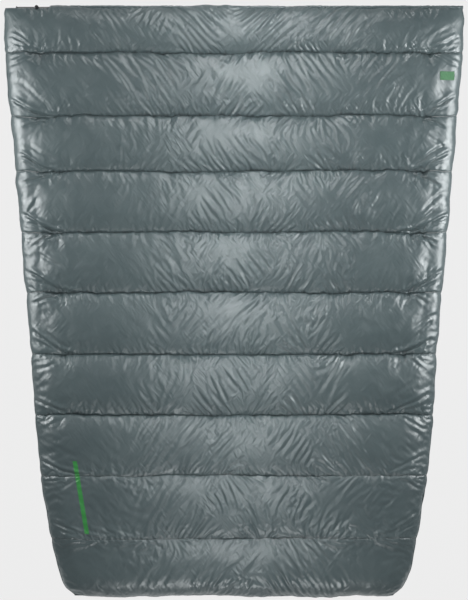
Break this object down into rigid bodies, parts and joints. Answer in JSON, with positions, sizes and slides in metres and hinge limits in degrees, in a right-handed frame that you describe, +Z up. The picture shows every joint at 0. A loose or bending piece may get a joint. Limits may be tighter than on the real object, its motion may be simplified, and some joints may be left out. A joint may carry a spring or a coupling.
{
  "type": "camp quilt",
  "caption": "tapered down camp quilt for two sleepers, with box-baffled rows, a drawcord and a snap at the neck, side draft edges, a closed footbox and mattress loops",
  "frame": {"origin": "centre of the quilt's footprint, on the ground it lies on", "axes": "+Z up off the ground; +Y from the foot edge to the neck edge; +X to the right seen from above with the neck edge at the top"},
  "size_m": [1.499, 1.93, 0.0734],
  "materials": {
    "shell_cloth": "silky taffeta, slate grey-green, satin sheen",
    "lining_cloth": "silky taffeta lining, a lighter slate grey, satin sheen",
    "down_fill": "loose white-grey down, matte",
    "baffle_mesh": "fine grey netting, matte",
    "cord": "braided round cord, near black, matte",
    "black_plastic": "moulded plastic, black, matte",
    "spring_steel": "drawn wire, satin",
    "webbing": "narrow grosgrain tape, dark grey, matte",
    "elastic": "round elastic cord, dark grey, matte",
    "accent_green": "woven tape, plain green, matte",
    "snap_metal": "pressed steel snap, dark nickel, satin"
  },
  "bodies": {
    "footbox": {"shell_footbox": "shell_cloth", "lining_footbox": "lining_cloth", "footbox_base": "shell_cloth", "down_row_7": "down_fill", "down_row_8": "down_fill", "down_row_9": "down_fill", "down_row_10": "down_fill", "baffle_6_7": "baffle_mesh", "baffle_7_8": "baffle_mesh", "baffle_8_9": "baffle_mesh", "baffle_9_10": "baffle_mesh"},
    "row_6": {"shell_row_6": "shell_cloth", "lining_row_6": "lining_cloth", "down_row_6": "down_fill", "baffle_5_6": "baffle_mesh"},
    "row_5": {"shell_row_5": "shell_cloth", "lining_row_5": "lining_cloth", "down_row_5": "down_fill", "baffle_4_5": "baffle_mesh"},
    "row_4": {"shell_row_4": "shell_cloth", "lining_row_4": "lining_cloth", "down_row_4": "down_fill", "baffle_3_4": "baffle_mesh"},
    "row_3": {"shell_row_3": "shell_cloth", "lining_row_3": "lining_cloth", "down_row_3": "down_fill", "baffle_2_3": "baffle_mesh"},
    "row_2": {"shell_row_2": "shell_cloth", "lining_row_2": "lining_cloth", "down_row_2": "down_fill", "baffle_1_2": "baffle_mesh"},
    "collar": {"shell_collar": "shell_cloth", "lining_collar": "lining_cloth", "down_collar": "down_fill", "neck_hem": "shell_cloth"},
    "draft_left_4": {"draft_left_4": "shell_cloth"},
    "draft_left_2": {"draft_left_2": "shell_cloth"},
    "draft_left_3": {"draft_left_3": "shell_cloth"},
    "draft_left_5": {"draft_left_5": "shell_cloth"},
    "draft_left_6": {"draft_left_6": "shell_cloth"},
    "draft_right_4": {"draft_right_4": "shell_cloth"},
    "draft_right_2": {"draft_right_2": "shell_cloth", "accent_tab": "accent_green"},
    "draft_right_3": {"draft_right_3": "shell_cloth"},
    "draft_right_5": {"draft_right_5": "shell_cloth"},
    "draft_right_6": {"draft_right_6": "shell_cloth"},
    "snap_tab_left": {"snap_tab_left": "webbing", "snap_stud": "snap_metal"},
    "snap_tab_right": {"snap_tab_right": "webbing", "snap_socket": "snap_metal"},
    "cord_lock": {"cord_lock_body": "black_plastic", "cord_lock_spring": "spring_steel"},
    "cord_lock_button": {"cord_lock_button": "black_plastic"},
    "drawcord": {"drawcord": "cord"},
    "mattress_loop_left_neck": {"mattress_loop_left_neck": "elastic"},
    "mattress_loop_left_foot": {"mattress_loop_left_foot": "elastic"},
    "mattress_loop_right_neck": {"mattress_loop_right_neck": "elastic"},
    "mattress_loop_right_foot": {"mattress_loop_right_foot": "elastic"}
  },
  "joints": [
    {"name": "fold_6_7", "type": "hinge", "parent": "footbox", "child": "row_6", "pos_m": [0, -0.175, 0.022], "axis": [1, 0, 0], "range_deg": [-45, 45], "stiffness_Nm_per_rad": 0.4},
    {"name": "fold_5_6", "type": "hinge", "parent": "row_6", "child": "row_5", "pos_m": [0, 0.024, 0.022], "axis": [1, 0, 0], "range_deg": [-45, 45], "stiffness_Nm_per_rad": 0.4},
    {"name": "fold_4_5", "type": "hinge", "parent": "row_5", "child": "row_4", "pos_m": [0, 0.223, 0.022], "axis": [1, 0, 0], "range_deg": [-45, 45], "stiffness_Nm_per_rad": 0.4},
    {"name": "fold_3_4", "type": "hinge", "parent": "row_4", "child": "row_3", "pos_m": [0, 0.422, 0.022], "axis": [1, 0, 0], "range_deg": [-45, 45], "stiffness_Nm_per_rad": 0.4},
    {"name": "fold_2_3", "type": "hinge", "parent": "row_3", "child": "row_2", "pos_m": [0, 0.605, 0.022], "axis": [1, 0, 0], "range_deg": [-45, 45], "stiffness_Nm_per_rad": 0.4},
    {"name": "fold_1_2", "type": "hinge", "parent": "row_2", "child": "collar", "pos_m": [0, 0.811, 0.022], "axis": [1, 0, 0], "range_deg": [-45, 45], "stiffness_Nm_per_rad": 0.4},
    {"name": "tuck_left_4", "type": "hinge", "parent": "row_4", "child": "draft_left_4", "pos_m": [-0.63467, 0.3225, 0.022], "axis": [0.0375, -0.9993, 0], "range_deg": [-45, 95], "stiffness_Nm_per_rad": 0.04},
    {"name": "tuck_left_2", "type": "hinge", "parent": "row_2", "child": "draft_left_2", "pos_m": [-0.64914, 0.708, 0.022], "axis": [0.0375, -0.9993, 0], "range_deg": [-45, 95], "stiffness_Nm_per_rad": 0.04},
    {"name": "tuck_left_3", "type": "hinge", "parent": "row_3", "child": "draft_left_3", "pos_m": [-0.64184, 0.5135, 0.022], "axis": [0.0375, -0.9993, 0], "range_deg": [-45, 95], "stiffness_Nm_per_rad": 0.04},
    {"name": "tuck_left_5", "type": "hinge", "parent": "row_5", "child": "draft_left_5", "pos_m": [-0.6272, 0.1235, 0.022], "axis": [0.0375, -0.9993, 0], "range_deg": [-45, 95], "stiffness_Nm_per_rad": 0.04},
    {"name": "tuck_left_6", "type": "hinge", "parent": "row_6", "child": "draft_left_6", "pos_m": [-0.61973, -0.0755, 0.022], "axis": [0.0375, -0.9993, 0], "range_deg": [-45, 95], "stiffness_Nm_per_rad": 0.04},
    {"name": "tuck_right_4", "type": "hinge", "parent": "row_4", "child": "draft_right_4", "pos_m": [0.63467, 0.3225, 0.022], "axis": [0.0375, 0.9993, 0], "range_deg": [-45, 95], "stiffness_Nm_per_rad": 0.04},
    {"name": "tuck_right_2", "type": "hinge", "parent": "row_2", "child": "draft_right_2", "pos_m": [0.64914, 0.708, 0.022], "axis": [0.0375, 0.9993, 0], "range_deg": [-45, 95], "stiffness_Nm_per_rad": 0.04},
    {"name": "tuck_right_3", "type": "hinge", "parent": "row_3", "child": "draft_right_3", "pos_m": [0.64184, 0.5135, 0.022], "axis": [0.0375, 0.9993, 0], "range_deg": [-45, 95], "stiffness_Nm_per_rad": 0.04},
    {"name": "tuck_right_5", "type": "hinge", "parent": "row_5", "child": "draft_right_5", "pos_m": [0.6272, 0.1235, 0.022], "axis": [0.0375, 0.9993, 0], "range_deg": [-45, 95], "stiffness_Nm_per_rad": 0.04},
    {"name": "tuck_right_6", "type": "hinge", "parent": "row_6", "child": "draft_right_6", "pos_m": [0.61973, -0.0755, 0.022], "axis": [0.0375, 0.9993, 0], "range_deg": [-45, 95], "stiffness_Nm_per_rad": 0.04},
    {"name": "swing_snap_tab_left", "type": "hinge", "parent": "collar", "child": "snap_tab_left", "pos_m": [-0.7485, 0.838, 0.0188], "axis": [0, 1, 0], "range_deg": [0, 140]},
    {"name": "swing_snap_tab_right", "type": "hinge", "parent": "collar", "child": "snap_tab_right", "pos_m": [0.7485, 0.838, 0.0188], "axis": [0, -1, 0], "range_deg": [0, 140]},
    {"name": "cord_pull", "type": "slide", "parent": "collar", "child": "drawcord", "axis": [-1, 0, 0], "range_m": [0, 0.1]},
    {"name": "cord_lock_slide", "type": "slide", "parent": "collar", "child": "cord_lock", "axis": [-1, 0, 0], "range_m": [-0.03, 0.04]},
    {"name": "cord_lock_press", "type": "slide", "parent": "cord_lock", "child": "cord_lock_button", "axis": [0, 0, -1], "range_m": [0, 0.0035], "stiffness_N_per_m": 3, "springref_m": -0.001, "deforming": ["cord_lock_spring"]},
    {"name": "swing_loop_left_neck", "type": "hinge", "parent": "row_3", "child": "mattress_loop_left_neck", "pos_m": [-0.59984, 0.5135, 0.0052], "axis": [0, 1, 0], "range_deg": [0, 80]},
    {"name": "swing_loop_left_foot", "type": "hinge", "parent": "row_5", "child": "mattress_loop_left_foot", "pos_m": [-0.5852, 0.1235, 0.0052], "axis": [0, 1, 0], "range_deg": [0, 80]},
    {"name": "swing_loop_right_neck", "type": "hinge", "parent": "row_3", "child": "mattress_loop_right_neck", "pos_m": [0.59984, 0.5135, 0.0052], "axis": [0, -1, 0], "range_deg": [0, 80]},
    {"name": "swing_loop_right_foot", "type": "hinge", "parent": "row_5", "child": "mattress_loop_right_foot", "pos_m": [0.5852, 0.1235, 0.0052], "axis": [0, -1, 0], "range_deg": [0, 80]}
  ],
  "couplings": [
    {"joint": "tuck_left_2", "follows": "tuck_left_4", "ratio": 1},
    {"joint": "tuck_left_3", "follows": "tuck_left_4", "ratio": 1},
    {"joint": "tuck_left_5", "follows": "tuck_left_4", "ratio": 1},
    {"joint": "tuck_left_6", "follows": "tuck_left_4", "ratio": 1},
    {"joint": "tuck_right_2", "follows": "tuck_right_4", "ratio": 1},
    {"joint": "tuck_right_3", "follows": "tuck_right_4", "ratio": 1},
    {"joint": "tuck_right_5", "follows": "tuck_right_4", "ratio": 1},
    {"joint": "tuck_right_6", "follows": "tuck_right_4", "ratio": 1}
  ]
}
